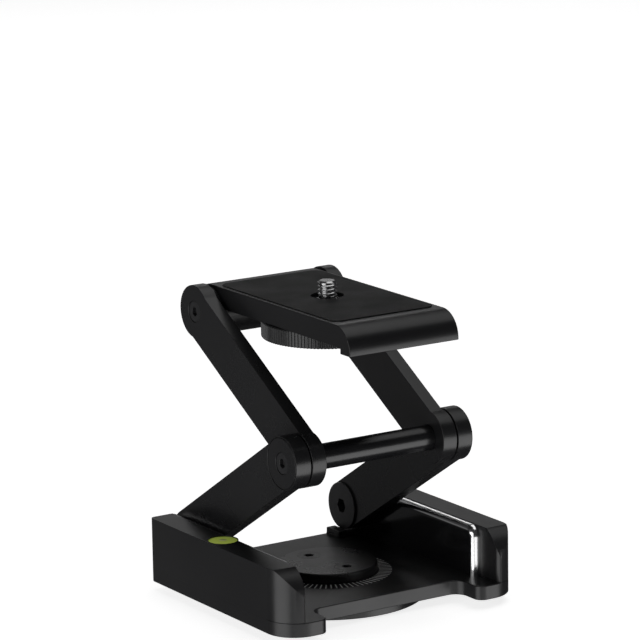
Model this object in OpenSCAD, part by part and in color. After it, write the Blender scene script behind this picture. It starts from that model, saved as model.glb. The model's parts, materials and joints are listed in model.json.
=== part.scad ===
// Folding tilt head for a camera: two pairs of arms make a Z between a panning base and
// a camera plate. Millimetres, +Z up. The origin is the point where the pan axis meets
// the surface the head stands on. X runs along the hinge axles and -Y is the front.

/* [Base] */
// Overall width across the two side walls
base_w = 92; // [84:1:112]
// Depth from the rear edge to the tips of the front feet
base_d = 84; // [76:1:104]
// Thickness of the floor plate
floor_t = 4.8; // [3.6:0.1:7]
// Height of the side walls above the floor
wall_h = 17.2; // [15:0.1:24]
// Thickness of each side wall
wall_t = 8.7; // [8:0.1:13]
// Thickness of the liner panel on the inside of each wall
liner_t = 2.6; // [1.6:0.1:4]
// Plan radius of the outer front corners
corner_r = 10.6; // [6:0.1:14]
// Side-view radius of the curve between the top of a wall and its front
roll_r = 14.2; // [13:0.1:20]
// How far the floor's front edge lies behind the tips of the feet
front_recess = 11.8; // [6:0.1:16]
// Width of each front foot
foot_w = 16.8; // [14:0.1:22]

/* [Turntable] */
// Height of the turntable disc showing under the base
disc_t = 2.8; // [1.8:0.1:4]
// Radius of the cap that holds the base down
cap_r = 16.5; // [15.6:0.1:19]
// Height of the cap above the floor
cap_rise = 3.3; // [2.6:0.1:5]
// Number of marks on the pan scale
mark_count = 72; // [24:12:120]
// Length of each mark on the pan scale
mark_l = 4.3; // [2:0.1:6]

/* [Arms] */
// Hinge distance of the lower arms
lower_arm_l = 71.9; // [60:0.1:90]
// Hinge distance of the upper arms
upper_arm_l = 74.1; // [60:0.1:92]
// Lean of the lower arms above level, towards the front
lower_angle = 31.7; // [20:0.1:60]
// Lean of the upper arms above level, towards the rear
upper_angle = 30.4; // [20:0.1:60]
// Width of the straight part of every arm
arm_w = 16.6; // [12:0.1:17.6]
// Thickness of the lower arms
arm_t = 5.6; // [4.4:0.1:7]
// Radius of the round hubs at the middle and top hinges
hub_r = 8.95; // [8:0.05:10]
// Radius of the rod that crosses at the middle hinge
rod_r = 4.2; // [3.6:0.1:5]

/* [Camera plate] */
// Distance from the top hinge to the centre of the rounded nose
nose_reach = 75.9; // [72:0.1:95]
// Thickness of the thumb wheel
wheel_t = 5.5; // [4:0.1:7]
// Number of grip grooves round the thumb wheel
groove_count = 104; // [60:4:140]
// Height of the camera screw above the pad
screw_rise = 5; // [4:0.1:6]

/* [Hidden] */
$fn = 96;
hex_sides = 6;
vee_sides = 4;
over = 1;                                  // how far cutters run past a face

// clearances
turn_gap = 0.05;                           // radial room round every turning pin
face_gap = 0.1;                            // room between flat faces that slide
disc_gap = 0.2;                            // base plate above the turntable disc
seam = 0.6;                                // dark seam between lower and upper arms
side_gap = 0.5;                            // liner to lower arm, filled by a washer

// base
half_w = base_w / 2;
rear_share = 0.4524;                       // part of the depth behind the pan axis
rear_y = base_d * rear_share;
front_y = rear_y - base_d;
recess_y = front_y + front_recess;
base_z = disc_t + disc_gap;
floor_z = base_z + floor_t;
wall_top = floor_z + wall_h;
wall_in = half_w - wall_t;
wall_mid = half_w - wall_t / 2;
liner_in = wall_in - liner_t;
liner_front = recess_y - 0.4;
liner_drop = 0.2;                          // liner top below the wall top
liner_roll = 4;
rim_r = liner_t - 0.2;                     // rounding of the liner's rim towards the arms
foot_in = half_w - foot_w;
foot_inner_r = 3.2;
roll_drop = 12.5;                          // wall top to the start of its front curve
recess_r = 4.2;
rear_r = 1.5;
inner_r = 2.5;

// stacking order across the head, from the liner inwards
arm_out = liner_in - side_gap;
arm_in = arm_out - arm_t;
hub_out = arm_in - seam;
beam_step = 0.5;                           // upper arm beam behind its middle hub
beam_out = hub_out - beam_step;
beam_t = 4.8;
beam_in = beam_out - beam_t;
plate_side_gap = 1.8;
plate_half = beam_in - plate_side_gap;
cap_head_gap = 0.05;
cap_head_t = 0.75;

// hinge axes, in side view
pivot_inset = 3.6;
pivot_rise = 10;
pivot_y = rear_y - pivot_inset;
pivot_z = floor_z + pivot_rise;
mid_y = pivot_y - lower_arm_l * cos(lower_angle);
mid_z = pivot_z + lower_arm_l * sin(lower_angle);
top_y = mid_y + upper_arm_l * cos(upper_angle);
top_z = mid_z + upper_arm_l * sin(upper_angle);

// rear pads on the floor
pad_block_l = 8;
pad_block_h = 2.3;
pad_block_w = 3.6;
pad_step_room = 0.4;                       // low step beside the block to the hub above it
pad_block_room = 0.3;                      // pad block to the pivot screw's head
pad_block_out = arm_in - cap_head_gap - cap_head_t - pad_block_room;

// turntable
disc_inset = 1.7;
disc_r = -recess_y - disc_inset;
ring_proud = 0.3;                          // grip ring below the disc
ring_t = 1.2;
ring_out = disc_r * 0.9;
ring_width = 6.5;
spindle_r = 14;
bore_r = spindle_r + turn_gap;
spindle_top = floor_z + face_gap;
cap_top = floor_z + cap_rise;
cap_bevel = 0.4;
slip_in = 16;
slip_out = 22;
slip_depth = 0.65;
slip_t = 0.8;
insert_r = 6.5;
insert_cover = 2.1;                        // cap left above the tripod insert
insert_top = cap_top - insert_cover;
tripod_minor_r = 3.97;                     // 3/8-16 thread, minor radius
cap_screw_ring = 9.3;
cap_screw_turn = 100;
mark_in = cap_r + 0.5;
mark_w = 0.45;
mark_depth = 0.25;
mark_proud = 0.03;

// screws
m4_head_r = 4.2;
m4_head_h = 2.2;
m4_r = 1.95;
m4_bore_r = 2;
m4_room_r = 2.1;
m4_hex = 3.4;
m3_head_r = 2.9;
m3_head_h = 1.6;
m3_r = 1.45;
m3_bore_r = 1.5;
m3_hex = 2.3;
sink_room = 0.05;
socket_head_r = 3.5;
socket_head_h = 2.8;
socket_room_r = 3.6;
socket_depth = 3;
hub_line_in = 0.35;                        // turned line inside the edge of the middle hub
hub_line_w = 0.3;
hub_line_depth = 0.3;
hex_depth = 1.5;
cap_screw_l = 6.5;
wall_screw_l = 12;
rod_screw_l = 12;

// lower pivots
shoulder_r = 3.5;
shoulder_bore_r = shoulder_r + turn_gap;
pivot_head_r = 8.15;
pivot_hex = 5.2;
pivot_thread_end = wall_in + 7.5;
pivot_washer_r = 5.8;
end_hole_l = 11;

// level
level_r = 5.1;
level_skin = 0.3;                          // metal left outside the level
level_x = half_w - level_r - level_skin;
level_wall = 0.25;
level_depth = 4.2;
level_rise = 0.15;
bubble_r = 1.5;
bubble_t = 0.5;
bubble_cover = 0.4;

// camera plate
pad_t = 1;
pad_proud = 0.35;
plate_r = hub_r - pad_proud;
slab_low = 1.36;
lip_room = 0.5;                            // folded rod to the inside of the nose lip
lip_in = upper_arm_l + rod_r + lip_room;
lip_drop = 0.6;                            // lip below the level of the top hinge
axle_r = 4;
screw_from_hinge = 39.4;
pad_inset = 1.3;
pad_front = 73.8;
pad_rear = 3;
pad_corner_r = 3.5;
pad_hole_r = 5.4;
screw_y = top_y - screw_from_hinge;
slab_z = top_z + slab_low;
plate_top = top_z + plate_r;
pad_top = plate_top + pad_proud;
pocket_z = pad_top - pad_t;
camera_screw_r = 3.175;                    // 1/4-20 thread, outer radius
clip_r = 4.8;
clip_t = 0.8;
clip_room = 0.2;
clip_z = pocket_z - clip_t - clip_room;
neck_r = 2.7;                              // below the thread's root, inside the clip
wheel_gap = 0.7;
wheel_room = min(beam_in, screw_from_hinge - plate_r, lip_in - screw_from_hinge);
wheel_r = wheel_room - wheel_gap;           // as large as the arms, the hub and the lip let it be
wheel_top = slab_z - face_gap;
wheel_low = wheel_top - wheel_t;
groove_r = 0.42;
wheel_head_r = 7;
wheel_head_t = 1.6;
coin_slot_w = 1.4;
coin_slot_depth = 0.9;
tip_bevel = 0.6;

// ---------------------------------------------------------------- shared shapes

// Turns a side view drawn as (Y, Z) into a slab between two X positions.
module along_x(x_low, x_high) {
  translate([x_low, 0, 0])
    rotate([90, 0, 90])
      linear_extrude(x_high - x_low)
        children();
}

// Draws its children on the right and again, mirrored, on the left.
module both_sides() {
  for (side = [0, 1])
    mirror([side, 0, 0])
      children();
}

// The area outside a rounded corner whose edges run from the origin along +X and +Y.
module corner_waste(radius) {
  difference() {
    translate([-over, -over])
      square(radius + over);
    translate([radius, radius])
      circle(radius);
  }
}

// A flat ring standing on z = 0.
module ring(outer_r, inner_r, height) {
  difference() {
    cylinder(r = outer_r, h = height);
    translate([0, 0, -over])
      cylinder(r = inner_r, h = height + 2 * over);
  }
}

// Countersunk screw with a hexagon socket, its head flush at z = 0 and pointing down.
module sunk_screw(head_r, head_h, shank_r, length, hex) {
  difference() {
    union() {
      translate([0, 0, -head_h])
        cylinder(r1 = shank_r, r2 = head_r, h = head_h);
      translate([0, 0, -length])
        cylinder(r = shank_r, h = length - head_h);
    }
    translate([0, 0, -hex_depth])
      cylinder(d = hex, h = hex_depth + over, $fn = hex_sides);
  }
}

// The space a countersunk screw needs, slightly larger than its head.
module sunk_room(head_r, head_h, hole_r, length) {
  translate([0, 0, -head_h - sink_room])
    cylinder(r1 = hole_r, r2 = head_r + sink_room, h = head_h + sink_room);
  translate([0, 0, -length])
    cylinder(r = hole_r, h = length);
  cylinder(r = head_r + sink_room, h = over);
}

// Socket head screw lying along X, its head flush at x = 0 and its tip towards -X.
module socket_screw(length) {
  rotate([0, 90, 0])
    difference() {
      union() {
        translate([0, 0, -socket_head_h])
          cylinder(r = socket_head_r, h = socket_head_h);
        translate([0, 0, -length])
          cylinder(r = m4_r, h = length - socket_head_h);
      }
      translate([0, 0, -hex_depth])
        cylinder(d = m4_hex, h = hex_depth + over, $fn = hex_sides);
    }
}

// ---------------------------------------------------------------- turntable

module cap_screw_places() {
  for (turn = [0, 180])
    rotate(cap_screw_turn + turn)
      translate([cap_screw_ring, 0, cap_top])
        children();
}

// Wide disc with the spindle the base turns on.
module turntable_base() {
  color("#1c1c1e")
    difference() {
      union() {
        translate([0, 0, ring_proud])
          cylinder(r = disc_r, h = disc_t - ring_proud);
        translate([0, 0, ring_proud])
          cylinder(r = spindle_r, h = spindle_top - ring_proud);
      }
      translate([0, 0, ring_proud - over])
        cylinder(r = insert_r, h = spindle_top - ring_proud + 2 * over);
      translate([0, 0, disc_t - slip_depth])
        ring(slip_out, slip_in, slip_depth + over);
      translate([0, 0, -over])
        ring(ring_out, ring_out - ring_width, ring_t + over);
      cap_screw_places()
        translate([0, 0, -cap_screw_l])
          cylinder(r = m4_bore_r, h = cap_screw_l);
    }
}

// Cap screwed to the spindle; it holds the base down on the disc.
module turntable_cap() {
  color("#202022")
    difference() {
      union() {
        translate([0, 0, spindle_top])
          cylinder(r = cap_r, h = cap_top - cap_bevel - spindle_top);
        translate([0, 0, cap_top - cap_bevel])
          cylinder(r1 = cap_r, r2 = cap_r - cap_bevel, h = cap_bevel);
      }
      translate([0, 0, spindle_top - over])
        cylinder(r = insert_r, h = insert_top - spindle_top + over);
      cap_screw_places()
        sunk_room(m4_head_r, m4_head_h, m4_room_r, cap_screw_l);
    }
}

module cap_screws() {
  color("#2b2b2e")
    cap_screw_places()
      sunk_screw(m4_head_r, m4_head_h, m4_r, cap_screw_l, m4_hex);
}

// Steel bush with the tripod thread, open at the underside.
module tripod_insert() {
  color("#8d8f92")
    translate([0, 0, ring_proud])
      ring(insert_r, tripod_minor_r, insert_top - ring_proud);
}

module grip_ring() {
  color("#151515")
    ring(ring_out, ring_out - ring_width, ring_t);
}

// Plastic bearing ring let into the disc, just short of the base plate.
module slip_ring() {
  color("#d9d4c4")
    translate([0, 0, disc_t - slip_depth])
      ring(slip_out, slip_in, slip_t);
}

// ---------------------------------------------------------------- base

module base_outline() {
  difference() {
    translate([-half_w, front_y])
      square([base_w, base_d]);
    translate([-foot_in, front_y - over])
      square([2 * foot_in, front_recess + over]);
    both_sides() {
      translate([half_w, front_y])
        mirror([1, 0])
          corner_waste(corner_r);
      translate([foot_in, front_y])
        corner_waste(foot_inner_r);
      translate([half_w, rear_y])
        mirror([1, 0])
          mirror([0, 1])
            corner_waste(rear_r);
    }
  }
  both_sides()
    difference() {
      translate([foot_in - recess_r, recess_y - recess_r])
        square(recess_r);
      translate([foot_in - recess_r, recess_y - recess_r])
        circle(recess_r);
    }
}

module wall_screw_places() {
  for (y = [rear_y - 10, rear_y / 2 - 10, front_y + 13])
    translate([wall_mid, y, base_z])
      children();
}

module scale_marks(low, high) {
  for (i = [0:mark_count - 1])
    rotate(i * 360 / mark_count)
      translate([mark_in, -mark_w / 2, low])
        cube([mark_l, mark_w, high - low]);
}

module base_plate() {
  pad_step_top = pivot_z - max(pivot_head_r, arm_w / 2) - pad_step_room;
  color("#1b1b1d")
    difference() {
      union() {
        translate([0, 0, base_z])
          linear_extrude(floor_t)
            base_outline();
        both_sides()
          translate([pad_block_out - pad_block_w, rear_y - pad_block_l, base_z])
            cube([pad_block_w, pad_block_l, floor_t + pad_block_h]);
        both_sides()
          translate([pad_block_out - over, rear_y - pad_block_l, base_z])
            cube([liner_in - pad_block_out + over, pad_block_l, pad_step_top - base_z]);
      }
      translate([0, 0, base_z - over])
        cylinder(r = bore_r, h = floor_t + 2 * over);
      scale_marks(floor_z - mark_depth, floor_z + over);
      both_sides()
        wall_screw_places()
          mirror([0, 0, 1])
            sunk_room(m3_head_r, m3_head_h, m3_bore_r, floor_t + over);
    }
}

module wall_plan() {
  difference() {
    translate([wall_in, front_y])
      square([wall_t, base_d]);
    translate([half_w, front_y])
      mirror([1, 0])
        corner_waste(corner_r);
    translate([wall_in, front_y])
      corner_waste(inner_r);
    translate([half_w, rear_y])
      mirror([1, 0])
        mirror([0, 1])
          corner_waste(rear_r);
  }
}

module wall_profile() {
  difference() {
    translate([front_y, floor_z])
      square([base_d, wall_h]);
    difference() {
      translate([front_y - over, wall_top - roll_drop])
        square([roll_r + over, roll_drop + over]);
      translate([front_y + roll_r, wall_top - roll_drop])
        circle(roll_r);
    }
  }
}

// Right-hand side wall; the left one is its mirror image.
module wall_body() {
  difference() {
    intersection() {
      translate([0, 0, floor_z])
        linear_extrude(wall_h)
          wall_plan();
      along_x(wall_in, half_w)
        wall_profile();
    }
    along_x(wall_in - over, pivot_thread_end)
      translate([pivot_y, pivot_z])
        circle(m4_bore_r);
    wall_screw_places()
      translate([0, 0, floor_t - over])
        cylinder(r = m3_bore_r, h = wall_screw_l - floor_t + 2 * over);
  }
}

// Round recess for the level, cut into the left wall and the edge of its liner.
module level_recess() {
  translate([-level_x, 0, wall_top - level_depth])
    cylinder(r = level_r, h = level_depth + over);
}

module left_wall() {
  color("#1b1b1d")
    difference() {
      mirror([1, 0, 0])
        wall_body();
      level_recess();
    }
}

module right_wall() {
  color("#1b1b1d")
    wall_body();
}

// Panel on the inside of the right-hand wall, with a rolled front top corner.
module liner_body() {
  liner_top = wall_top - liner_drop;
  along_x(liner_in, wall_in)
    difference() {
      translate([liner_front, floor_z])
        square([rear_y - liner_front, liner_top - floor_z]);
      translate([liner_front, liner_top])
        mirror([0, 1])
          corner_waste(liner_roll);
      translate([pivot_y, pivot_z])
        circle(m4_room_r);
    }
}

// Rounding of the right-hand liner's rim: up the front, round the roll, along the top.
module liner_rim_waste() {
  liner_top = wall_top - liner_drop;
  roll_y = liner_front + liner_roll;
  roll_z = liner_top - liner_roll;
  translate([liner_in, liner_front, floor_z - over])
    linear_extrude(roll_z - floor_z + over)
      corner_waste(rim_r);
  translate([liner_in, roll_y, roll_z])
    rotate([0, 90, 0])
      rotate([0, 0, 180])
        rotate_extrude(angle = 90)
          translate([liner_roll, 0])
            mirror([1, 0])
              corner_waste(rim_r);
  translate([liner_in, roll_y, liner_top])
    rotate([-90, 0, 0])
      linear_extrude(rear_y - roll_y + over)
        corner_waste(rim_r);
}

module left_liner() {
  color("#2a2a2c")
    difference() {
      mirror([1, 0, 0])
        liner_body();
      mirror([1, 0, 0])
        liner_rim_waste();
      level_recess();
    }
}

module right_liner() {
  color("#2a2a2c")
    difference() {
      liner_body();
      liner_rim_waste();
    }
}

// White filled marks, one every few degrees round the cap.
module pan_scale() {
  color("#e6e6e6")
    scale_marks(floor_z - mark_depth, floor_z + mark_proud);
}

module level_cup() {
  color("#222222")
    translate([-level_x, 0, wall_top - level_depth])
      difference() {
        cylinder(r = level_r, h = level_depth + level_rise);
        translate([0, 0, level_wall])
          cylinder(r = level_r - level_wall, h = level_depth + over);
      }
}

module bubble_shape() {
  translate([-level_x, 0, wall_top - bubble_cover - bubble_t])
    cylinder(r = bubble_r, h = bubble_t);
}

module level_vial() {
  color("#8c9a28")
    difference() {
      translate([-level_x, 0, wall_top - level_depth + level_wall])
        cylinder(r = level_r - level_wall, h = level_depth - level_wall);
      bubble_shape();
    }
}

module level_bubble() {
  color("#c8d070")
    bubble_shape();
}

// Countersunk screws that hold the walls down, driven from underneath.
module wall_screws() {
  color("#2b2b2e")
    both_sides()
      wall_screw_places()
        mirror([0, 0, 1])
          sunk_screw(m3_head_r, m3_head_h, m3_r, wall_screw_l, m3_hex);
}

// Shoulder screws: a flat head inside each lower arm and a thread in the wall.
module pivot_screws() {
  head_high = arm_in - cap_head_gap;
  color("#232325")
    both_sides()
      difference() {
        union() {
          along_x(head_high - cap_head_t, head_high)
            translate([pivot_y, pivot_z])
              circle(pivot_head_r);
          along_x(head_high - cap_head_t, liner_in)
            translate([pivot_y, pivot_z])
              circle(shoulder_r);
          along_x(liner_in, pivot_thread_end)
            translate([pivot_y, pivot_z])
              circle(m4_r);
        }
        along_x(head_high - cap_head_t - over, head_high - cap_head_t + 2 * hex_depth)
          translate([pivot_y, pivot_z])
            circle(d = pivot_hex, $fn = hex_sides);
      }
}

// Friction washers between the liners and the lower arms.
module pivot_washers() {
  color("#c9c4b4")
    both_sides()
      along_x(arm_out + turn_gap, liner_in)
        translate([pivot_y, pivot_z])
          difference() {
            circle(pivot_washer_r);
            circle(shoulder_bore_r);
          }
}

// ---------------------------------------------------------------- lower arms

module lower_arm_body() {
  difference() {
    along_x(arm_in, arm_out)
      translate([pivot_y, pivot_z])
        rotate(180 - lower_angle) {
          circle(arm_w / 2);
          translate([0, -arm_w / 2])
            square([lower_arm_l, arm_w]);
          translate([lower_arm_l, 0])
            circle(hub_r);
        }
    along_x(arm_in - over, arm_out + over)
      translate([pivot_y, pivot_z])
        circle(shoulder_bore_r);
    along_x(arm_in - over, arm_out + over)
      translate([mid_y, mid_z])
        circle(m4_room_r);
    along_x(arm_out - socket_depth, arm_out + over)
      translate([mid_y, mid_z])
        circle(socket_room_r);
    along_x(arm_out - hub_line_depth, arm_out + over)
      translate([mid_y, mid_z])
        difference() {
          circle(hub_r - hub_line_in);
          circle(hub_r - hub_line_in - hub_line_w);
        }
  }
}

module left_lower_arm() {
  color("#1d1d1f")
    mirror([1, 0, 0])
      lower_arm_body();
}

module right_lower_arm() {
  color("#1d1d1f")
    lower_arm_body();
}

// Rod clamped between the lower arms; the upper arms turn on it.
module cross_rod() {
  color("#1a1a1c")
    difference() {
      along_x(-arm_in, arm_in)
        translate([mid_y, mid_z])
          circle(rod_r);
      both_sides()
        along_x(arm_in - end_hole_l, arm_in + over)
          translate([mid_y, mid_z])
            circle(m4_bore_r);
    }
}

module rod_screws() {
  color("#2b2b2e")
    both_sides()
      translate([arm_out - socket_depth + socket_head_h, mid_y, mid_z])
        socket_screw(rod_screw_l);
}

// Thin friction washers in the seam between lower and upper arms.
module mid_washers() {
  color("#101010")
    both_sides()
      along_x(hub_out + turn_gap, arm_in)
        translate([mid_y, mid_z])
          difference() {
            circle(hub_r - 1);
            circle(rod_r);
          }
}

// ---------------------------------------------------------------- upper arms

module upper_arm_body() {
  difference() {
    union() {
      along_x(beam_in, beam_out)
        translate([mid_y, mid_z])
          rotate(upper_angle) {
            translate([0, -arm_w / 2])
              square([upper_arm_l, arm_w]);
            translate([upper_arm_l, 0])
              circle(hub_r);
          }
      along_x(beam_in, hub_out)
        translate([mid_y, mid_z])
          circle(hub_r);
    }
    along_x(beam_in - over, hub_out + over)
      translate([mid_y, mid_z])
        circle(rod_r + turn_gap);
    along_x(beam_in - over, beam_out + over)
      translate([top_y, top_z])
        circle(m4_room_r);
    along_x(beam_out - socket_depth, beam_out + over)
      translate([top_y, top_z])
        circle(socket_room_r);
  }
}

module left_upper_arm() {
  color("#1d1d1f")
    mirror([1, 0, 0])
      upper_arm_body();
}

module right_upper_arm() {
  color("#1d1d1f")
    upper_arm_body();
}

// Axle clamped between the upper arms; the camera plate turns on it.
module top_axle() {
  color("#6f7174")
    difference() {
      along_x(-beam_in, beam_in)
        translate([top_y, top_z])
          circle(axle_r);
      both_sides()
        along_x(beam_in - end_hole_l, beam_in + over)
          translate([top_y, top_z])
            circle(m4_bore_r);
    }
}

module axle_screws() {
  color("#2b2b2e")
    both_sides()
      translate([beam_out - socket_depth + socket_head_h, top_y, top_z])
        socket_screw(rod_screw_l);
}

module top_washers() {
  color("#c9c4b4")
    both_sides()
      along_x(plate_half + turn_gap, beam_in)
        translate([top_y, top_z])
          difference() {
            circle(hub_r - 1);
            circle(axle_r);
          }
}

// ---------------------------------------------------------------- camera plate

// Side view of the plate about its hinge: hub, slab, and a nose whose lip hangs down in
// front of the cross rod when the head is folded.
module plate_profile() {
  difference() {
    union() {
      circle(plate_r);
      translate([-nose_reach, slab_low])
        square([nose_reach, plate_r - slab_low]);
      nose_profile();
    }
    circle(axle_r + turn_gap);
  }
}

module nose_profile() {
  difference() {
    union() {
      intersection() {
        translate([-nose_reach, 0])
          circle(plate_r);
        translate([-nose_reach - plate_r, 0])
          square(plate_r);
      }
      translate([-nose_reach - plate_r, -lip_drop])
        square([plate_r, lip_drop]);
    }
    translate([-lip_in, -lip_drop - over])
      square([lip_in - nose_reach + over, lip_drop + over + slab_low]);
  }
}

module pad_outline() {
  pad_half = plate_half - pad_inset;
  difference() {
    translate([-pad_half, top_y - pad_front])
      square([2 * pad_half, pad_front - pad_rear]);
    both_sides() {
      translate([pad_half, top_y - pad_front])
        mirror([1, 0])
          corner_waste(pad_corner_r);
      translate([pad_half, top_y - pad_rear])
        mirror([1, 0])
          mirror([0, 1])
            corner_waste(pad_corner_r);
    }
  }
}

module top_plate() {
  color("#1c1c1e")
    difference() {
      along_x(-plate_half, plate_half)
        translate([top_y, top_z])
          plate_profile();
      translate([0, 0, pocket_z])
        linear_extrude(pad_t + over)
          pad_outline();
      translate([0, screw_y, slab_z - over])
        cylinder(r = camera_screw_r + turn_gap, h = plate_r + over);
      translate([0, screw_y, pocket_z - clip_t - 2 * clip_room])
        cylinder(r = clip_r + clip_room, h = pad_t + clip_t + over);
    }
}

module grip_pad() {
  color("#262626")
    difference() {
      translate([0, 0, pocket_z])
        linear_extrude(pad_t)
          pad_outline();
      translate([0, screw_y, pocket_z - over])
        cylinder(r = pad_hole_r, h = pad_t + 2 * over);
    }
}

// ---------------------------------------------------------------- thumb wheel

module thumb_wheel() {
  color("#1a1a1c")
    translate([0, screw_y, wheel_low])
      difference() {
        cylinder(r = wheel_r, h = wheel_t);
        for (i = [0:groove_count - 1])
          rotate(i * 360 / groove_count)
            translate([wheel_r, 0, -over])
              cylinder(r = groove_r, h = wheel_t + 2 * over, $fn = vee_sides);
        translate([0, 0, -over])
          cylinder(r = camera_screw_r, h = wheel_t + 2 * over);
        translate([0, 0, -over])
          cylinder(r = wheel_head_r, h = wheel_head_t + over);
      }
}

// Captive screw: a guided shank, a relieved neck for the clip, and the thread above.
module camera_screw() {
  color("#9a9c9f")
    translate([0, screw_y, 0])
      difference() {
        union() {
          translate([0, 0, wheel_low])
            cylinder(r = wheel_head_r, h = wheel_head_t);
          translate([0, 0, wheel_low])
            cylinder(r = camera_screw_r, h = clip_z - wheel_low);
          translate([0, 0, wheel_low])
            cylinder(r = neck_r, h = pad_top + tip_bevel - wheel_low);
          translate([0, 0, pad_top])
            screw_end();
        }
        translate([-wheel_head_r - over, -coin_slot_w / 2, wheel_low - over])
          cube([2 * (wheel_head_r + over), coin_slot_w, coin_slot_depth + over]);
      }
}

module screw_end() {
  cylinder(r = camera_screw_r, h = screw_rise - tip_bevel);
  translate([0, 0, screw_rise - tip_bevel])
    cylinder(r1 = camera_screw_r, r2 = camera_screw_r - tip_bevel, h = tip_bevel);
}

// Retaining ring that keeps the camera screw in the plate.
module screw_clip() {
  color("#77797c")
    translate([0, screw_y, clip_z])
      ring(clip_r, neck_r, clip_t);
}

// ---------------------------------------------------------------- nodes

turntable_base();
turntable_cap();
cap_screws();
tripod_insert();
grip_ring();
slip_ring();
base_plate();
left_wall();
right_wall();
left_liner();
right_liner();
pan_scale();
level_cup();
level_vial();
level_bubble();
wall_screws();
pivot_screws();
pivot_washers();
left_lower_arm();
right_lower_arm();
cross_rod();
rod_screws();
mid_washers();
left_upper_arm();
right_upper_arm();
top_axle();
axle_screws();
top_washers();
top_plate();
grip_pad();
thumb_wheel();
camera_screw();
screw_clip();
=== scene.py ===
import json
import math

import bmesh
import bpy
from mathutils import Matrix, Vector


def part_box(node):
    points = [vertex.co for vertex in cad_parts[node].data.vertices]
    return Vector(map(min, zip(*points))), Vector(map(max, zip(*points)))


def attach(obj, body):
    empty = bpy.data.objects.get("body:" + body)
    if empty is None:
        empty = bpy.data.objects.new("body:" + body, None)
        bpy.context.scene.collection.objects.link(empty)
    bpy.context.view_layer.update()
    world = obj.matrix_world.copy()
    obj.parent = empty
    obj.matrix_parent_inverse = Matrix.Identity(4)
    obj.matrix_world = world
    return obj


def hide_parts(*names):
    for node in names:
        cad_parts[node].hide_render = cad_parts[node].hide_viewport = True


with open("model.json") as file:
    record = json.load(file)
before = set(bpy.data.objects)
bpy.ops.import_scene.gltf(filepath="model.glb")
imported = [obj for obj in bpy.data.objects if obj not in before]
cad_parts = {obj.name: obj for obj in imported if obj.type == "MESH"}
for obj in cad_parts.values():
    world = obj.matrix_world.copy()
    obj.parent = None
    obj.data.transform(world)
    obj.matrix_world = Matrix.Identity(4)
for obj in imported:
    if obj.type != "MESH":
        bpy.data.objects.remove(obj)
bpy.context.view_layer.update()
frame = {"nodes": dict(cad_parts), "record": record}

mm = 0.001

# ------------------------------------------------------------------ turntable disc
# The wide disc the head stands on, with the spindle the base turns round. It is
# turned from aluminium bar and anodised black, and shows fine lathe rings.


def effect_group(name, inputs, outputs):
    """An empty shader group with named float inputs, a Vector input, and named outputs."""
    group = bpy.data.node_groups.new(name, "ShaderNodeTree")
    group.interface.new_socket("Vector", in_out="INPUT", socket_type="NodeSocketVector")
    for socket, value in inputs:
        made = group.interface.new_socket(socket, in_out="INPUT", socket_type="NodeSocketFloat")
        made.default_value = value
    for socket in outputs:
        group.interface.new_socket(socket, in_out="OUTPUT", socket_type="NodeSocketFloat")
    return group, group.nodes.new("NodeGroupInput"), group.nodes.new("NodeGroupOutput")


def noise_in(group, start, scale_from, times, detail):
    """A noise texture whose scale is one of the group's inputs times a number."""
    scale = group.nodes.new("ShaderNodeMath")
    scale.operation = "MULTIPLY"
    scale.inputs[1].default_value = times
    noise = group.nodes.new("ShaderNodeTexNoise")
    noise.inputs["Detail"].default_value = detail
    group.links.new(start.outputs[scale_from], scale.inputs[0])
    group.links.new(scale.outputs[0], noise.inputs["Scale"])
    group.links.new(start.outputs["Vector"], noise.inputs["Vector"])
    return noise.outputs["Fac"]


def range_of(group, value, low, high, start):
    """A value of 0.3 to 0.7 spread between two of the group's inputs."""
    spread = group.nodes.new("ShaderNodeMapRange")
    spread.inputs["From Min"].default_value = 0.3
    spread.inputs["From Max"].default_value = 0.7
    group.links.new(value, spread.inputs["Value"])
    group.links.new(start.outputs[low], spread.inputs["To Min"])
    group.links.new(start.outputs[high], spread.inputs["To Max"])
    return spread.outputs["Result"]


# Handling: smudged patches where hands have polished or greased the surface.
handling, begin, end = effect_group("handling", [("Scale", 60.0), ("Clean", 0.3), ("Smudged", 0.42)],
                                    ["Roughness", "Tone"])
patches = noise_in(handling, begin, "Scale", 1.0, 5.0)
handling.links.new(range_of(handling, patches, "Clean", "Smudged", begin), end.inputs["Roughness"])
handling.links.new(noise_in(handling, begin, "Scale", 0.35, 3.0), end.inputs["Tone"])

# Grain: the fine even tooth left by bead blasting before anodising.
grain, begin, end = effect_group("grain", [("Scale", 3000.0)], ["Height"])
grain.links.new(noise_in(grain, begin, "Scale", 1.0, 2.0), end.inputs["Height"])

# Lathe rings: fine circles about the Z axis of the coordinates given to the group.
lathe_rings, begin, end = effect_group("lathe_rings", [("Scale", 2500.0)], ["Height"])
split = lathe_rings.nodes.new("ShaderNodeSeparateXYZ")
flat = lathe_rings.nodes.new("ShaderNodeCombineXYZ")
reach = lathe_rings.nodes.new("ShaderNodeVectorMath")
reach.operation = "LENGTH"
rings = lathe_rings.nodes.new("ShaderNodeTexNoise")
rings.noise_dimensions = "1D"
rings.inputs["Detail"].default_value = 2.0
lathe_rings.links.new(begin.outputs["Vector"], split.inputs[0])
lathe_rings.links.new(split.outputs["X"], flat.inputs["X"])
lathe_rings.links.new(split.outputs["Y"], flat.inputs["Y"])
lathe_rings.links.new(flat.outputs[0], reach.inputs[0])
lathe_rings.links.new(reach.outputs["Value"], rings.inputs["W"])
lathe_rings.links.new(begin.outputs["Scale"], rings.inputs["Scale"])
lathe_rings.links.new(rings.outputs["Fac"], end.inputs["Height"])


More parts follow.
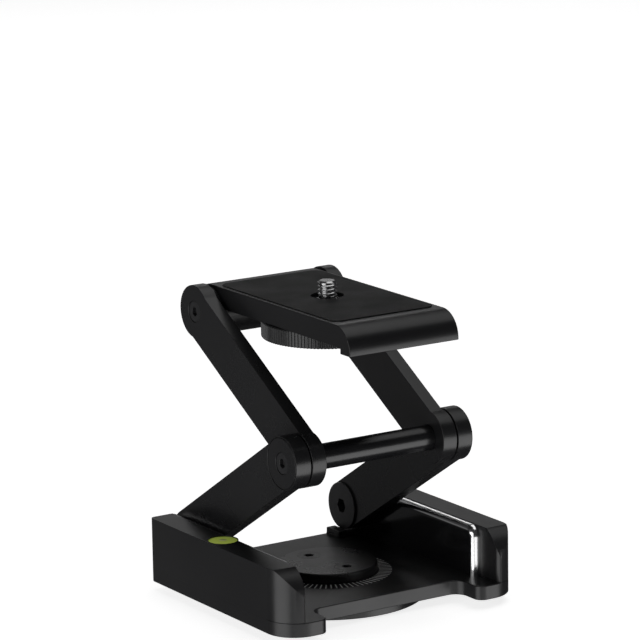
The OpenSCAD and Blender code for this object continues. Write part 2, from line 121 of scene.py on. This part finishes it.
def surface(name, dark, light, clean, smudged, relief=0.02, relief_scale=3000.0, patch=60.0,
            metal=0.0, ior=1.5, level=0.5, coat=0.0, cut=None, centre=(0, 0, 0)):
    """A finish: two close tones, smudged roughness and a fine relief, by default the blasted grain."""
    made = bpy.data.materials.new(name)
    made.use_nodes = True
    nodes, links = made.node_tree.nodes, made.node_tree.links
    shader = nodes["Principled BSDF"]
    shader.inputs["Metallic"].default_value = metal
    shader.inputs["IOR"].default_value = ior
    shader.inputs["Specular IOR Level"].default_value = level
    shader.inputs["Coat Weight"].default_value = coat
    shader.inputs["Coat Roughness"].default_value = 0.08
    where = nodes.new("ShaderNodeTexCoord")
    mapping = nodes.new("ShaderNodeMapping")
    mapping.inputs["Location"].default_value = [-c for c in centre]
    links.new(where.outputs["Object"], mapping.inputs["Vector"])
    hands = nodes.new("ShaderNodeGroup")
    hands.node_tree = handling
    hands.inputs["Scale"].default_value = patch
    hands.inputs["Clean"].default_value = clean
    hands.inputs["Smudged"].default_value = smudged
    links.new(where.outputs["Object"], hands.inputs["Vector"])
    links.new(hands.outputs["Roughness"], shader.inputs["Roughness"])
    tones = nodes.new("ShaderNodeValToRGB")
    tones.color_ramp.elements[0].position = 0.35
    tones.color_ramp.elements[0].color = (*dark, 1)
    tones.color_ramp.elements[1].position = 0.65
    tones.color_ramp.elements[1].color = (*light, 1)
    links.new(hands.outputs["Tone"], tones.inputs["Fac"])
    links.new(tones.outputs["Color"], shader.inputs["Base Color"])
    tooth = nodes.new("ShaderNodeGroup")
    tooth.node_tree = cut or grain
    tooth.inputs["Scale"].default_value = relief_scale
    links.new(mapping.outputs["Vector"], tooth.inputs["Vector"])
    bump = nodes.new("ShaderNodeBump")
    bump.inputs["Strength"].default_value = relief
    bump.inputs["Distance"].default_value = 0.0002
    links.new(tooth.outputs["Height"], bump.inputs["Height"])
    links.new(bump.outputs["Normal"], shader.inputs["Normal"])
    return made


def merged_copy(node):
    """A CAD node's shape with its triangles joined and its flat faces made whole."""
    shape = bmesh.new()
    shape.from_mesh(frame["nodes"][node].data)
    bmesh.ops.remove_doubles(shape, verts=shape.verts, dist=2e-6)
    bmesh.ops.dissolve_limit(shape, angle_limit=math.radians(0.4), verts=shape.verts, edges=shape.edges)
    return shape


def break_edges(shape, size, steps=3, only=lambda middle: True, over=40):
    """Rounds the sharp edges whose middle point passes the test, as deburring does."""
    sharp = [e for e in shape.edges
             if len(e.link_faces) == 2 and math.degrees(e.calc_face_angle(0)) > over
             and only((e.verts[0].co + e.verts[1].co) / 2 / mm)]
    bmesh.ops.bevel(shape, geom=sharp, offset=size * mm, offset_type="OFFSET", segments=steps,
                    profile=0.5, affect="EDGES", material=-1, clamp_overlap=True, loop_slide=True)


def fit(name, shape, body, finishes, nodes=(), smooth=34):
    """Makes the mesh a piece, rounds its shading, and hangs it on its moving body."""
    mesh = bpy.data.meshes.new(name)
    shape.to_mesh(mesh)
    shape.free()
    mesh.polygons.foreach_set("use_smooth", [True] * len(mesh.polygons))
    mesh.set_sharp_from_angle(angle=math.radians(smooth))
    for finish in finishes:
        mesh.materials.append(finish)
    piece = bpy.data.objects.new(name, mesh)
    bpy.context.scene.collection.objects.link(piece)
    even = piece.modifiers.new("even shading", "WEIGHTED_NORMAL")
    even.keep_sharp = True
    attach(piece, body)
    if nodes:
        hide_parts(*nodes)
    return piece


def finish_node(node, finish):
    """Gives a CAD node that stays in view its finish."""
    for held in frame["nodes"][node].material_slots:
        held.material = finish


turned_black = surface("turned_black", (0.005, 0.005, 0.0055), (0.008, 0.008, 0.0085), 0.24, 0.34,
                       relief=0.10, relief_scale=1800.0, cut=lathe_rings)
disc = merged_copy("turntable_base")
break_edges(disc, 0.25, only=lambda at: math.hypot(at.x, at.y) > 28)
fit("turntable_disc", disc, "turntable", [turned_black], ["turntable_base"])

# ------------------------------------------------------------------ grip ring
# A moulded rubber ring glued into the groove under the disc. Round ribs on its face
# keep the head from sliding on a table or a carriage.

ring_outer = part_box("grip_ring")[1].x / mm
ring_inner = ring_outer - 6.5
soft_rubber = surface("soft_rubber", (0.012, 0.012, 0.012), (0.020, 0.020, 0.019), 0.62, 0.78,
                      relief=0.25, relief_scale=1600.0, patch=90.0, level=0.35)
ribbed = bmesh.new()
rib_count = 5
rib_pitch = (ring_outer - ring_inner) / rib_count
corners = [(ring_inner, 1.2)]
for rib in range(rib_count):
    start = ring_inner + rib * rib_pitch
    corners += [(start, 0.25), (start + 0.18, 0.0),
                (start + rib_pitch - 0.3, 0.0), (start + rib_pitch - 0.12, 0.25)]
corners += [(ring_outer, 0.25), (ring_outer, 1.2)]
outline = [ribbed.verts.new((x * mm, 0, z * mm)) for x, z in corners]
edges = [ribbed.edges.new(pair) for pair in zip(outline, outline[1:] + outline[:1])]
bmesh.ops.spin(ribbed, geom=outline + edges, cent=(0, 0, 0), axis=(0, 0, 1), steps=96,
               angle=math.tau, use_merge=True)
bmesh.ops.remove_doubles(ribbed, verts=ribbed.verts, dist=1e-6)
bmesh.ops.recalc_face_normals(ribbed, faces=ribbed.faces)
fit("grip_ring_ribbed", ribbed, "turntable", [soft_rubber], ["grip_ring"])

# ------------------------------------------------------------------ tripod bush
# A steel bush screwed up into the spindle, with the coarse tripod thread cut in it.
# The thread shows from below.

bright_steel = surface("bright_steel", (0.50, 0.50, 0.51), (0.60, 0.60, 0.60), 0.18, 0.30,
                       relief=0.06, relief_scale=2500.0, metal=1.0, cut=lathe_rings)
bush_low, bush_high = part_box("tripod_insert")


def screw_surface(shape, valley, crest, pitch, low, high, steps=40):
    """A V thread between two radii, swept as a helix and cut square at both ends (mm)."""
    start = low - 1.5 * pitch
    turns = int((high - low) / pitch) + 3
    points = []
    for turn in range(turns):
        foot = start + turn * pitch
        points += [(valley, foot), (valley, foot + 0.12 * pitch),
                   (crest, foot + 0.5 * pitch), (crest, foot + 0.62 * pitch)]
    line = [shape.verts.new((r * mm, 0, z * mm)) for r, z in points]
    chain = [shape.edges.new(pair) for pair in zip(line, line[1:])]
    bmesh.ops.spin(shape, geom=line + chain, cent=(0, 0, 0), axis=(0, 0, 1), steps=steps,
                   angle=math.tau, dvec=(0, 0, pitch * mm / steps), use_merge=False)
    bmesh.ops.remove_doubles(shape, verts=shape.verts, dist=1e-6)
    for height, way in ((low, -1), (high, 1)):
        bmesh.ops.bisect_plane(shape, geom=shape.verts[:] + shape.edges[:] + shape.faces[:], dist=1e-7,
                               plane_co=(0, 0, height * mm), plane_no=(0, 0, way), clear_outer=True)


three_eighths_thread = (3.97, 4.70, 1.5875)  # inner radius, outer radius and pitch in mm
bush = bmesh.new()
screw_surface(bush, *three_eighths_thread, bush_low.z / mm, bush_high.z / mm)
for height in (bush_low.z, bush_high.z):
    rim = [e for e in bush.edges if e.is_boundary and abs(e.verts[0].co.z - height) < 1e-6
           and abs(e.verts[1].co.z - height) < 1e-6]
    outer = bmesh.ops.create_circle(bush, segments=64, radius=bush_high.x,
                                    matrix=Matrix.Translation((0, 0, height)))
    around = list({e for v in outer["verts"] for e in v.link_edges})
    bmesh.ops.triangle_fill(bush, edges=rim + around, use_beauty=True)
hoops = [e for e in bush.edges if e.is_boundary]
bmesh.ops.bridge_loops(bush, edges=hoops)
bmesh.ops.recalc_face_normals(bush, faces=bush.faces)
fit("tripod_bush", bush, "turntable", [bright_steel], ["tripod_insert"])

# ------------------------------------------------------------------ slip ring
# A plain ring of low-friction plastic let into the disc; the base plate slides on it.

bearing_plastic = surface("bearing_plastic", (0.60, 0.57, 0.48), (0.70, 0.67, 0.58), 0.35, 0.5,
                          relief=0.05, relief_scale=900.0, patch=120.0)
finish_node("slip_ring", bearing_plastic)

# ------------------------------------------------------------------ turntable cap
# The round cap screwed to the spindle, inside the pan scale. It holds the base down;
# turned, with its edges lightly broken.

cap = merged_copy("turntable_cap")
break_edges(cap, 0.12, steps=2, only=lambda at: math.hypot(at.x, at.y) > 15.5)
fit("cap", cap, "turntable", [turned_black], ["turntable_cap"])

# ------------------------------------------------------------------ cap screws
# Two black oxide steel screws, countersunk so that they finish flush with the cap.

black_oxide = surface("black_oxide", (0.006, 0.006, 0.0065), (0.012, 0.012, 0.013), 0.30, 0.45,
                      relief=0.06, relief_scale=4000.0, patch=200.0, level=0.6)
for node, size in (("cap_screws", 0.08), ("wall_screws", 0.06), ("rod_screws", 0.10), ("axle_screws", 0.10)):
    body = next(b for b, held in frame["record"]["behaviour"]["bodies"].items() if node in held)
    screws = merged_copy(node)
    break_edges(screws, size, steps=2, over=50)
    fit(node + "_steel", screws, body, [black_oxide], [node])

# ------------------------------------------------------------------ base plate
# The floor of the base: a plate milled from aluminium with two front feet and two
# small stepped stops at the rear, blasted and anodised satin black.

plate_black = surface("plate_black", (0.005, 0.005, 0.0055), (0.007, 0.007, 0.0075), 0.32, 0.40,
                      relief=0.015, relief_scale=2600.0, patch=45.0)
base_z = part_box("base_plate")[0].z / mm
floor_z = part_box("right_wall")[0].z / mm
floor_plate = merged_copy("base_plate")
spindle_room_r = 24.0
screws_inside, screws_outside = 38.0, 45.2
screws_front, screws_rear = -36.0, 37.0
front_strip = -30.0


def deburred(at):
    """Broken edges: the underside but for the spindle and wall screw holes, the front, the stops."""
    past_screws = (abs(at.x) < screws_inside or abs(at.x) > screws_outside
                   or at.y < screws_front or at.y > screws_rear)
    underneath = abs(at.z - base_z) < 0.01 and math.hypot(at.x, at.y) > spindle_room_r and past_screws
    front_top = abs(at.z - floor_z) < 0.01 and at.y < front_strip
    return underneath or front_top or at.z > floor_z + 1


break_edges(floor_plate, 0.35, only=deburred)
fit("base_floor", floor_plate, "base", [plate_black], ["base_plate"])

# ------------------------------------------------------------------ side walls
# Two solid aluminium bars screwed to the plate from below. Their front corners are
# milled round and the top rolls over towards the front.

satin_black = surface("satin_black", (0.005, 0.005, 0.0055), (0.008, 0.008, 0.0085), 0.28, 0.36,
                      relief=0.03, relief_scale=2600.0, patch=40.0)
level_from_centre, level_reach = 41.4, 8.0
for side, node in (("left", "left_wall"), ("right", "right_wall")):
    wall = merged_copy(node)
    break_edges(wall, 0.22, only=lambda at: (math.hypot(abs(at.x) - level_from_centre, at.y) > level_reach
                                             or at.z < floor_z + 1))
    fit(side + "_side_wall", wall, "base", [satin_black], [node])

# ------------------------------------------------------------------ liners
# A gloss black panel on the inside of each wall. The rim that faces the arms is
# rounded over, cut bright and polished.

gloss_panel = surface("gloss_panel", (0.003, 0.003, 0.0035), (0.005, 0.005, 0.0055), 0.10, 0.17,
                      relief=0.012, relief_scale=1500.0, patch=35.0)
bright_cut = surface("bright_cut", (0.80, 0.80, 0.81), (0.88, 0.88, 0.88), 0.12, 0.20,
                     relief=0.03, relief_scale=5000.0, metal=1.0, patch=90.0)
pivot_y, pivot_z = 34.4 * mm, 17.8 * mm
pivot_hole_reach = 4 * mm
for side, node, inward in (("left", "left_liner", 1), ("right", "right_liner", -1)):
    panel = merged_copy(node)
    for face in panel.faces:
        centre = face.calc_center_median()
        in_hole = math.hypot(centre.y - pivot_y, centre.z - pivot_z) < pivot_hole_reach
        towards_arms = -inward * face.normal.x < 0.3 and abs(face.normal.x) < 0.97
        on_rim = towards_arms and face.normal.z > -0.05 and face.normal.y < 0.3
        face.material_index = 1 if on_rim and not in_hole else 0
    fit(side + "_liner_panel", panel, "base", [gloss_panel, bright_cut], [node], smooth=28)

# ------------------------------------------------------------------ pan scale
# White paint wiped into shallow engraved marks round the cap.

mark_paint = surface("mark_paint", (0.86, 0.86, 0.85), (0.93, 0.93, 0.92), 0.55, 0.7,
                     relief=0.2, relief_scale=5000.0, patch=400.0)
finish_node("pan_scale", mark_paint)

# ------------------------------------------------------------------ bubble level
# A round level pressed into the left wall: a black cup, a fluorescent tinted fluid
# under a domed window, and a bubble. The fluid's faint glow is painted light.

level_low, level_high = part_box("level_cup")
level_x, level_top = (level_low.x + level_high.x) / 2 / mm, level_high.z / mm
cup_wall = 0.25
window_r = (level_high.x - level_low.x) / 2 / mm - cup_wall
gloss_black = surface("gloss_black", (0.010, 0.010, 0.011), (0.015, 0.015, 0.016), 0.18, 0.26,
                      relief=0.02, relief_scale=1500.0)
tinted = surface("tinted_fluid_painted_glow", (0.84, 0.94, 0.20), (0.90, 0.98, 0.26), 0.05, 0.10,
                 relief=0.0, relief_scale=500.0, patch=150.0, coat=0.6)
bubble_tint = surface("bubble_tint", (0.90, 0.97, 0.36), (0.94, 0.99, 0.44), 0.05, 0.08,
                      relief=0.0, relief_scale=500.0, patch=150.0, coat=0.6)
# Painted glow: the fluid gives off a faint light of its own, though the level is no lamp.
glow = tinted.node_tree.nodes["Principled BSDF"].inputs
glow["Emission Color"].default_value = (0.5, 0.8, 0.02, 1)
glow["Emission Strength"].default_value = 0.1
level_ring = merged_copy("level_cup")
break_edges(level_ring, 0.06, steps=2)
fit("level_ring", level_ring, "base", [gloss_black], ["level_cup"])


def lathe(shape, points, centre=(0, 0), steps=64):
    """Spins an outline of (radius, height) points in mm about an upright axis at centre."""
    line = [shape.verts.new(((centre[0] + r) * mm, centre[1] * mm, z * mm)) for r, z in points]
    chain = [shape.edges.new(pair) for pair in zip(line, line[1:])]
    if points[0][0] > 0 and points[-1][0] > 0:
        chain.append(shape.edges.new((line[-1], line[0])))
    bmesh.ops.spin(shape, geom=line + chain, cent=(centre[0] * mm, centre[1] * mm, 0), axis=(0, 0, 1),
                   steps=steps, angle=math.tau, use_merge=True)
    bmesh.ops.remove_doubles(shape, verts=shape.verts, dist=1e-6)
    bmesh.ops.recalc_face_normals(shape, faces=shape.faces)


window = bmesh.new()
dome = []
for step in range(9):
    slope = step * math.pi / 16
    dome.append((window_r * math.sin(slope), level_top - 0.32 + 0.24 * math.cos(slope)))
lathe(window, [(0, level_top - 3.6), (window_r, level_top - 3.6)] + dome[::-1], (level_x, 0))
fit("level_window", window, "base", [tinted], ["level_vial"])
bubble = bmesh.new()
lathe(bubble, [(0, level_top - 0.2), (1.25, level_top - 0.2), (1.45, level_top - 0.14),
               (1.3, level_top - 0.082), (0, level_top - 0.07)], (level_x, 0), 40)
fit("level_bubble_drop", bubble, "base", [bubble_tint], ["level_bubble"])

# ------------------------------------------------------------------ lower pivots
# Shoulder screws with wide flat heads: each passes through a lower arm into the wall
# and clamps the arm against a thin black plastic washer.

pivots = merged_copy("pivot_screws")
break_edges(pivots, 0.18, steps=3, over=50)
fit("shoulder_screws", pivots, "base", [black_oxide], ["pivot_screws"])
finish_node("pivot_washers", gloss_black)

# ------------------------------------------------------------------ lower arms
# Two flat aluminium arms, round at both ends, joined by the cross rod into one frame.
# Their edges are lightly chamfered and catch the light.

arm_black = surface("arm_black", (0.005, 0.005, 0.0055), (0.008, 0.008, 0.0085), 0.24, 0.33,
                    relief=0.03, relief_scale=2400.0, patch=35.0)
for side in ("left", "right"):
    arm = merged_copy(side + "_lower_arm")
    break_edges(arm, 0.42)
    fit(side + "_lower_bar", arm, "lower_arms", [arm_black], [side + "_lower_arm"])

# ------------------------------------------------------------------ cross rod
# A turned rod clamped between the lower arms by a screw at each end; the upper arms
# turn on it. Dark fibre washers fill the seam beside each hub.

turned_rod = surface("turned_rod", (0.005, 0.005, 0.0055), (0.008, 0.008, 0.0085), 0.22, 0.28,
                     relief=0.05, relief_scale=2600.0, patch=50.0)
rod = merged_copy("cross_rod")
break_edges(rod, 0.15, steps=2)
fit("cross_bar", rod, "lower_arms", [turned_rod], ["cross_rod"])
dark_fibre = surface("dark_fibre", (0.004, 0.004, 0.004), (0.008, 0.008, 0.008), 0.6, 0.75,
                     relief=0.2, relief_scale=1500.0, level=0.2)
finish_node("mid_washers", dark_fibre)

# ------------------------------------------------------------------ upper arms
# Two arms like the lower ones, set further in. Each has a thicker round hub at the
# cross rod and is clamped to the top axle at its other end.

for side in ("left", "right"):
    arm = merged_copy(side + "_upper_arm")
    break_edges(arm, 0.42)
    fit(side + "_upper_bar", arm, "upper_arms", [arm_black], [side + "_upper_arm"])

# ------------------------------------------------------------------ top axle
# A plain ground steel axle between the upper arms, with black plastic washers at its ends.

ground_steel = surface("ground_steel", (0.42, 0.42, 0.43), (0.50, 0.50, 0.50), 0.2, 0.3,
                       relief=0.05, relief_scale=3000.0, metal=1.0)
finish_node("top_axle", ground_steel)
finish_node("top_washers", gloss_black)

# ------------------------------------------------------------------ camera plate
# The plate the camera is screwed to: one aluminium extrusion with a round hub at the
# rear and a rolled nose that hooks over the cross rod when the head is folded.

below_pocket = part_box("top_plate")[1].z / mm - 1.2
beside_pocket, before_pocket = 20.5, -38.0
camera_plate = merged_copy("top_plate")
break_edges(camera_plate, 0.38,
            only=lambda at: at.z < below_pocket or abs(at.x) > beside_pocket or at.y < before_pocket)
fit("camera_bar", camera_plate, "camera_plate", [satin_black], ["top_plate"])

# ------------------------------------------------------------------ grip pad
# A sheet of black rubber glued into a pocket in the plate, moulded with fine ribs.

ribs, begin, end = effect_group("moulded_ribs", [("Scale", 400.0)], ["Height"])
lines = ribs.nodes.new("ShaderNodeTexWave")
lines.bands_direction = "Y"
lines.inputs["Distortion"].default_value = 0.0
ribs.links.new(begin.outputs["Vector"], lines.inputs["Vector"])
ribs.links.new(begin.outputs["Scale"], lines.inputs["Scale"])
ribs.links.new(lines.outputs["Fac"], end.inputs["Height"])
pad_rubber = surface("pad_rubber", (0.006, 0.006, 0.006), (0.010, 0.010, 0.010), 0.56, 0.68,
                     relief=0.35, relief_scale=300.0, patch=70.0, level=0.25, cut=ribs)
pad = merged_copy("grip_pad")
break_edges(pad, 0.22, steps=3)
fit("pad_sheet", pad, "camera_plate", [pad_rubber], ["grip_pad"])

# ------------------------------------------------------------------ thumb wheel
# The wheel under the plate that turns the camera screw. Turned from aluminium, with
# straight grip ridges milled all round its rim.

wheel_low, wheel_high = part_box("thumb_wheel")
wheel_r = (wheel_high.x - wheel_low.x) / 2
wheel_y = (wheel_high.y + wheel_low.y) / 2
ridge_count = 116
ridge_depth = 0.42 * mm
rim = bmesh.new()
outer = bmesh.ops.create_circle(rim, segments=ridge_count * 4, radius=wheel_r,
                                matrix=Matrix.Translation((0, wheel_y, wheel_low.z)))["verts"]
for index, corner in enumerate(outer):
    if index % 4 in (0, 1):
        away = Vector((corner.co.x, corner.co.y - wheel_y, 0))
        corner.co -= away.normalized() * ridge_depth
bmesh.ops.create_circle(rim, segments=ridge_count * 4, radius=wheel_r - 1.5 * mm,
                        matrix=Matrix.Translation((0, wheel_y, wheel_low.z)))
bmesh.ops.bridge_loops(rim, edges=rim.edges[:])
risen = bmesh.ops.extrude_face_region(rim, geom=rim.faces[:])
bmesh.ops.translate(rim, verts=[v for v in risen["geom"] if isinstance(v, bmesh.types.BMVert)],
                    vec=(0, 0, wheel_high.z - wheel_low.z))
bevel_height = 0.35 * mm
for band in (bevel_height, wheel_high.z - wheel_low.z - bevel_height):
    bmesh.ops.bisect_plane(rim, geom=rim.verts[:] + rim.edges[:] + rim.faces[:], dist=1e-7,
                           plane_co=(0, 0, wheel_low.z + band), plane_no=(0, 0, 1))
for corner in rim.verts:
    away = Vector((corner.co.x, corner.co.y - wheel_y, 0))
    on_end = min(corner.co.z - wheel_low.z, wheel_high.z - corner.co.z) < 1e-6
    if on_end and away.length > wheel_r - 1 * mm:
        corner.co -= away.normalized() * 0.3 * mm
bmesh.ops.recalc_face_normals(rim, faces=rim.faces)
wheel_black = surface("wheel_black", (0.008, 0.008, 0.0085), (0.012, 0.012, 0.0125), 0.22, 0.30,
                      relief=0.05, relief_scale=2400.0, cut=lathe_rings,
                      centre=(0, wheel_y, 0))
fit("wheel_rim", rim, "wheel", [wheel_black], ["thumb_wheel"], smooth=25)
low, high, disc_r = wheel_low.z / mm, wheel_high.z / mm, wheel_r / mm - 1.0
wheel_body = bmesh.new()
lathe(wheel_body, [(3.2, low + 1.6), (7.02, low + 1.6), (7.02, low + 0.25), (7.3, low + 0.05),
                   (13.0, low + 0.05), (13.4, low + 0.35), (17.6, low + 0.35), (18.0, low + 0.05),
                   (disc_r, low + 0.05), (disc_r, high - 0.02), (3.2, high - 0.02)],
      (0, wheel_y / mm), 128)
fit("wheel_disc", wheel_body, "wheel", [wheel_black])

# ------------------------------------------------------------------ camera screw
# A steel screw with a coin slot in its head, fixed in the wheel. Its threaded end
# stands above the pad and is held in the plate by a spring clip.

screw_low, screw_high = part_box("camera_screw")
pad_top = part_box("grip_pad")[1].z / mm
screw_steel = surface("screw_steel", (0.50, 0.50, 0.51), (0.60, 0.60, 0.60), 0.18, 0.28,
                      relief=0.04, relief_scale=3000.0, metal=1.0, cut=lathe_rings, centre=(0, wheel_y, 0))
head = merged_copy("camera_screw")
bmesh.ops.bisect_plane(head, geom=head.verts[:] + head.edges[:] + head.faces[:], dist=1e-7,
                       plane_co=(0, 0, (pad_top - 0.05) * mm), plane_no=(0, 0, 1), clear_outer=True)
bmesh.ops.holes_fill(head, edges=head.edges)
break_edges(head, 0.15, steps=2, only=lambda at: at.z < screw_low.z / mm + 0.2)
fit("camera_screw_head", head, "wheel", [screw_steel], ["camera_screw"])
quarter_inch_thread = (2.62, 3.16, 1.27)  # inner radius, outer radius and pitch in mm
thread = bmesh.new()
screw_surface(thread, *quarter_inch_thread, pad_top, screw_high.z / mm - 0.55)
loops = [e for e in thread.edges if e.is_boundary]
bmesh.ops.holes_fill(thread, edges=loops)
bmesh.ops.recalc_face_normals(thread, faces=thread.faces)
bmesh.ops.translate(thread, verts=thread.verts, vec=(0, wheel_y, 0))
fit("camera_screw_thread", thread, "wheel", [screw_steel])
tip = bmesh.new()
tip_top = screw_high.z / mm
lathe(tip, [(0, tip_top - 1.2), (2.9, tip_top - 1.2), (2.9, tip_top - 0.5), (2.45, tip_top), (0, tip_top)],
      (0, wheel_y / mm), 48)
fit("camera_screw_tip", tip, "wheel", [screw_steel])
finish_node("screw_clip", screw_steel)

# ------------------------------------------------------------------ floor, lights and camera
# A pale floor that gives its own light, and seven soft lights: left, front right, low in
# front, three behind and one overhead. The floor is left out of reflections and shadows.

floor_mesh = bmesh.new()
bmesh.ops.create_grid(floor_mesh, x_segments=1, y_segments=1, size=8.0)
ground_mesh = bpy.data.meshes.new("ground")
floor_mesh.to_mesh(ground_mesh)
floor_mesh.free()
ground = bpy.data.objects.new("ground", ground_mesh)
bpy.context.scene.collection.objects.link(ground)
paper = surface("paper", (0.80, 0.80, 0.80), (0.82, 0.82, 0.82), 0.9, 0.95, relief=0.0, patch=2.0, level=0.0)
glow = paper.node_tree.nodes["Principled BSDF"].inputs
glow["Emission Color"].default_value = (1, 1, 1, 1)
glow["Emission Strength"].default_value = 0.80
ground_mesh.materials.append(paper)
ground.visible_glossy = False
ground.visible_shadow = False


def soft_light(name, place, aim, width, height, brightness):
    """A rectangular soft light of even brightness, turned to face the aim point (metres)."""
    data = bpy.data.lights.new(name, "AREA")
    data.shape = "RECTANGLE"
    data.size = width
    data.size_y = height
    data.energy = brightness * math.pi * width * height
    light = bpy.data.objects.new(name, data)
    light.location = place
    light.rotation_euler = (Vector(place) - Vector(aim)).to_track_quat("Z", "Y").to_euler()
    bpy.context.scene.collection.objects.link(light)
    light.visible_camera = False


middle = (0, 0, 0.05)
soft_light("left_light", (-1.12, -0.22, -0.10), middle, 1.15, 1.5, 1.9)
soft_light("right_light", (0.64, -0.92, -0.34), middle, 0.8, 0.85, 2.3)
soft_light("front_light", (-0.30, -1.20, -0.42), middle, 1.3, 0.6, 1.1)
soft_light("rear_light", (0.70, 1.30, 0.42), middle, 1.3, 0.42, 0.24)
soft_light("rear_high_light", (0.40, 1.22, 0.76), middle, 1.0, 0.12, 2.0)
soft_light("rear_left_light", (-0.75, 1.3, -0.1), middle, 1.3, 1.2, 0.075)
soft_light("top_light", (0.3, 0.05, 1.5), middle, 1.6, 1.4, 1.0)

world = bpy.data.worlds.new("studio")
world.use_nodes = True
world.node_tree.nodes["Background"].inputs["Color"].default_value = (0.035, 0.035, 0.036, 1)
world.node_tree.nodes["Background"].inputs["Strength"].default_value = 1.0
bpy.context.scene.world = world
bpy.context.scene.view_settings.view_transform = "Standard"

camera_data = bpy.data.cameras.new("camera")
camera_data.lens = 212.9
camera_data.sensor_width = 36.0
camera_data.clip_end = 50.0
camera = bpy.data.objects.new("camera", camera_data)
camera.matrix_world = (Matrix.Translation((-0.65419, -1.02045, 0.36621))
                       @ Matrix.Rotation(math.radians(-32.6), 4, "Z")
                       @ Matrix.Rotation(math.radians(90 - 12.69), 4, "X")
                       @ Matrix.Rotation(math.radians(-0.94), 4, "Z"))
bpy.context.scene.collection.objects.link(camera)
bpy.context.scene.camera = camera
